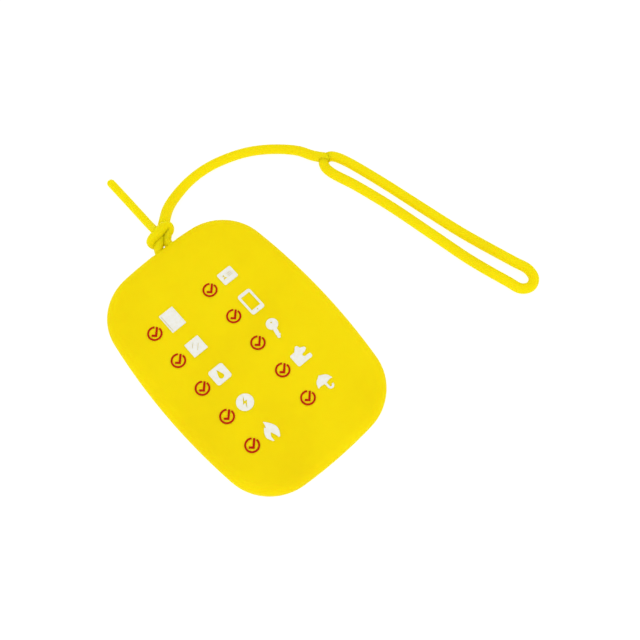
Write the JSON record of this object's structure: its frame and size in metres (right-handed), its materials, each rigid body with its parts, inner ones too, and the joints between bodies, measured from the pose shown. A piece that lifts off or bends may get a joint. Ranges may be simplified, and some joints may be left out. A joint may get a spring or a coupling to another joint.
{
  "type": "luggage tag",
  "caption": "Soft silicone luggage tag: rounded card sleeve with printed pictograms and ticks, rear window, side card slot, and a hitched silicone strap with a long loop.",
  "frame": {"origin": "under the middle of the sleeve, on the plane of its back face", "axes": "+X the tag's right seen from the printed face, +Y along the tag towards the strap, +Z out of the printed face; the tag lies on its back"},
  "size_m": [0.1426, 0.1457, 0.0092],
  "materials": {
    "sleeve_silicone": "matte soft-touch moulded silicone, bright yellow",
    "strap_silicone": "satin moulded silicone cord, bright yellow",
    "white_ink": "screen-printed white silicone ink",
    "red_ink": "screen-printed red silicone ink",
    "card_stock": "uncoated printed card",
    "clear_film": "clear flexible film"
  },
  "bodies": {
    "tag": {"silicone_sleeve": "sleeve_silicone", "window_film": "clear_film", "strap_bight": "strap_silicone", "print_door": "white_ink", "print_window": "white_ink", "print_water": "white_ink", "print_power": "white_ink", "print_gas": "white_ink", "print_id_card": "white_ink", "print_phone": "white_ink", "print_key": "white_ink", "print_wallet": "white_ink", "print_umbrella": "white_ink", "ring_door": "red_ink", "ring_window": "red_ink", "ring_water": "red_ink", "ring_power": "red_ink", "ring_gas": "red_ink", "ring_id_card": "red_ink", "ring_phone": "red_ink", "ring_key": "red_ink", "ring_wallet": "red_ink", "ring_umbrella": "red_ink", "tick_door": "red_ink", "tick_window": "red_ink", "tick_water": "red_ink", "tick_power": "red_ink", "tick_gas": "red_ink", "tick_id_card": "red_ink", "tick_phone": "red_ink", "tick_key": "red_ink", "tick_wallet": "red_ink", "tick_umbrella": "red_ink"},
    "card": {"address_card": "card_stock"},
    "strap": {"strap_knot": "strap_silicone", "strap_cord": "strap_silicone", "strap_tail": "strap_silicone", "strap_loop": "strap_silicone"}
  },
  "joints": [
    {"name": "card_slide", "type": "slide", "parent": "tag", "child": "card", "axis": [1, 0, 0], "range_m": [0, 0.042]},
    {"name": "strap_flex", "type": "hinge", "parent": "tag", "child": "strap", "pos_m": [0.0034, 0.0522, 0.0035], "axis": [1, 0, 0], "range_deg": [-60, 60]}
  ]
}
